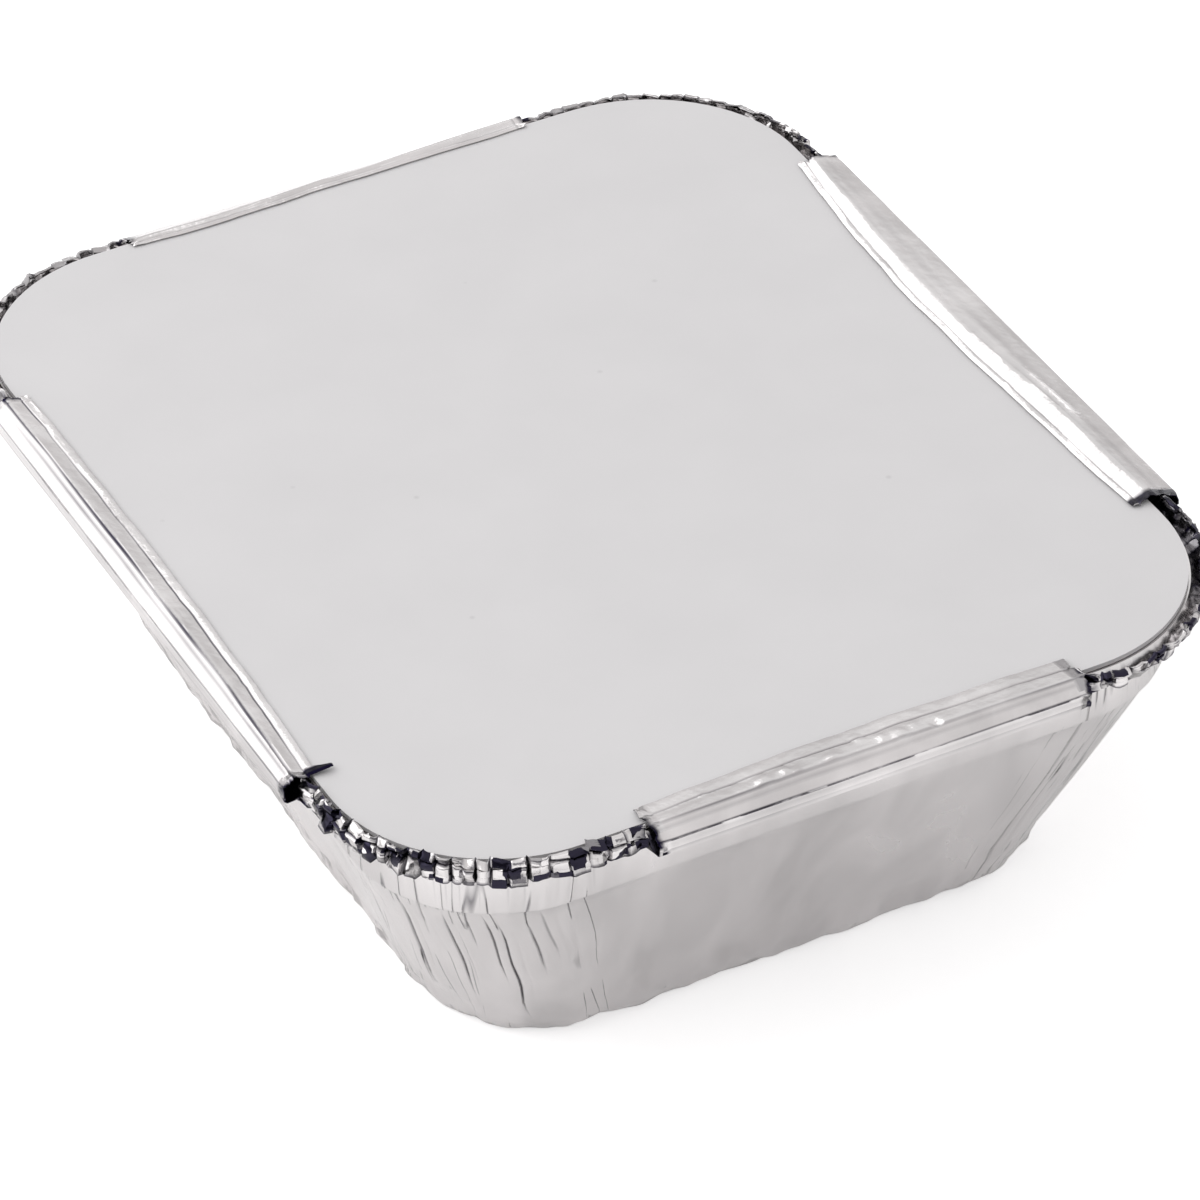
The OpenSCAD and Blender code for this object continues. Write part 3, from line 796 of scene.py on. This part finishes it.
def seenAsBackground(tree, path, camera, mirrored):
    # how strongly each kind of ray sees the white background
    direct = addNode(tree, "ShaderNodeMath", {0: path.outputs["Is Camera Ray"], 1: camera},
                     operation="MULTIPLY")
    either = addNode(tree, "ShaderNodeMath", {0: path.outputs["Is Glossy Ray"],
                                              1: path.outputs["Is Transmission Ray"]}, operation="MAXIMUM")
    return addNode(tree, "ShaderNodeMath", {0: either.outputs[0], 1: mirrored, 2: direct.outputs[0]},
                   operation="MULTIPLY_ADD").outputs[0]


def makeFloor():
    # pale studio floor: the lamps light it, so it keeps the shadow. where it is seen it is lifted to white
    look = {"floor": "#F2F1F1", "liftSeen": 0.5, "liftInPaintedShadow": 0.15, "liftFar": 0.42,
            "near": 0.070, "far": 0.140, "size": 6.0}    # metres
    deselectAll()
    bpy.ops.mesh.primitive_plane_add(size=look["size"], location=(0, 0, 0))
    floor = bpy.context.object
    floor.name = "floor"
    material = bpy.data.materials.new("paleFloor")
    tree = emptyTree(material)
    # painted shadow: what the foil mirrors of the floor is dimmer close to the tray, under its overhang, than
    # further out
    place = addNode(tree, "ShaderNodeTexCoord").outputs["Object"]
    distance = addNode(tree, "ShaderNodeVectorMath", {0: place}, operation="LENGTH").outputs["Value"]
    mirrored = addNode(tree, "ShaderNodeMapRange", {"Value": distance, "From Min": look["near"],
                                                    "From Max": look["far"], "To Min": look["liftInPaintedShadow"],
                                                    "To Max": look["liftFar"]})
    path = addNode(tree, "ShaderNodeLightPath")
    lift = seenAsBackground(tree, path, look["liftSeen"], mirrored.outputs["Result"])
    glow = addNode(tree, "ShaderNodeEmission", {"Color": white, "Strength": lift})
    matt = addNode(tree, "ShaderNodeBsdfDiffuse", {"Color": toLinear(look["floor"])})
    both = addNode(tree, "ShaderNodeAddShader", {0: glow.outputs[0], 1: matt.outputs[0]})
    addNode(tree, "ShaderNodeOutputMaterial", {"Surface": both.outputs[0]})
    floor.data.materials.append(material)


def makeWorld():
    # white to the camera. foil mirrors white too, a little greyer low down and overhead, and low behind the
    # camera the unlit room, which it shows as thin dark lines
    look = {"ambient": 0.68, "ceiling": "#F4F2F2", "low": "#E4E2E2", "room": "#57545E",
            "ceilingFrom": 0.62, "ceilingFull": 0.95, "lowFrom": 0.45, "lowFull": 0.2,
            "roomSide": (-0.32, -0.90, 0.30), "roomFrom": 0.46, "roomFull": 0.74,
            "roomTop": 0.3, "roomFade": 0.18}
    world = bpy.data.worlds.new("studio")
    bpy.context.scene.world = world
    tree = emptyTree(world)
    way = addNode(tree, "ShaderNodeTexCoord").outputs["Generated"]
    height = addNode(tree, "ShaderNodeSeparateXYZ", {0: way}).outputs["Z"]
    towards = addNode(tree, "ShaderNodeVectorMath", {0: way, 1: look["roomSide"]},
                      operation="DOT_PRODUCT").outputs["Value"]
    overhead, horizon, aside, below = (
        addNode(tree, "ShaderNodeMapRange", {"Value": value, "From Min": none, "From Max": full},
                interpolation_type="SMOOTHSTEP").outputs["Result"]
        for value, none, full in ((height, look["ceilingFrom"], look["ceilingFull"]),
                                  (height, look["lowFrom"], look["lowFull"]),
                                  (towards, look["roomFrom"], look["roomFull"]),
                                  (height, look["roomTop"] + look["roomFade"], look["roomTop"])))
    room = addNode(tree, "ShaderNodeMath", {0: aside, 1: below}, operation="MULTIPLY").outputs[0]
    path = addNode(tree, "ShaderNodeLightPath")
    colour = white
    for share, over in ((overhead, toLinear(look["ceiling"])), (horizon, toLinear(look["low"])),
                        (room, toLinear(look["room"])), (path.outputs["Is Camera Ray"], white)):
        colour = addNode(tree, "ShaderNodeMix", {"Factor": share, "A": colour, "B": over},
                         data_type="RGBA").outputs["Result"]
    light = addNode(tree, "ShaderNodeBackground", {"Color": white, "Strength": look["ambient"]})
    shown = addNode(tree, "ShaderNodeBackground", {"Color": colour, "Strength": 1.0})
    both = addNode(tree, "ShaderNodeMixShader", {"Fac": seenAsBackground(tree, path, 1.0, 1.0),
                                                 1: light.outputs[0], 2: shown.outputs[0]})
    addNode(tree, "ShaderNodeOutputWorld", {"Surface": both.outputs[0]})


def makeLamps():
    # soft boxes that point at the tray, as (name, place, width, height, watts)
    lamps = (
        ("backBox", (-0.50, 0.80, 0.85), 1.8, 1.15, 5.7),
        ("leftBox", (-1.00, -0.05, 0.90), 1.0, 1.0, 3.8),
    )
    aim = Vector((0, 0, 0.03))
    for name, place, width, height, watts in lamps:
        deselectAll()
        bpy.ops.object.light_add(type="AREA", location=place)
        lamp = bpy.context.object
        lamp.name = name
        lamp.data.shape = "RECTANGLE"
        lamp.data.size, lamp.data.size_y = width, height
        lamp.data.energy = watts
        lamp.rotation_euler = (aim - Vector(place)).to_track_quat("-Z", "Y").to_euler()


def makeCamera():
    # the photograph's view: 27.2 degrees to the left of the front, 37.7 degrees up, through a long lens
    look = {"turned": -27.18, "raised": 37.66, "roll": -1.0,    # degrees
            "distance": 812.67, "across": -2.929, "down": 18.767, "target": (0, 0, 43.0),    # mm
            "lens": 195.015, "sensor": 36,    # mm
            "clipStart": 0.05, "clipEnd": 20}    # metres
    turned, raised, roll = (math.radians(look[k]) for k in ("turned", "raised", "roll"))
    away = Vector((math.sin(turned) * math.cos(raised), -math.cos(turned) * math.cos(raised),
                   math.sin(raised)))
    level = Vector((math.cos(turned), math.sin(turned), 0))
    up = away.cross(level)
    across = math.cos(roll) * level + math.sin(roll) * up
    upward = -math.sin(roll) * level + math.cos(roll) * up
    place = Vector(look["target"]) + away * look["distance"] - across * look["across"] - upward * look["down"]
    deselectAll()
    bpy.ops.object.camera_add(location=place * mm)
    camera = bpy.context.object
    camera.rotation_euler = Matrix((across, upward, away)).transposed().to_euler()
    camera.data.lens = look["lens"]
    camera.data.sensor_width = look["sensor"]
    camera.data.clip_start = look["clipStart"]
    camera.data.clip_end = look["clipEnd"]
    bpy.context.scene.camera = camera


tray = makeFoilTray()
tray.data.materials.append(makeFoilMaterial())
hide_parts("foil_tray")
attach(tray, "root")
print("foil tray: done,", len(tray.data.polygons), "faces")

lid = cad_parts["board_lid"]
lid.data.materials.clear()
lid.data.materials.append(makeBoardMaterial())
print("board lid: done")

makeFloor()
makeWorld()
makeLamps()
makeCamera()
bpy.context.scene.view_settings.view_transform = "Standard"
print("studio: done")
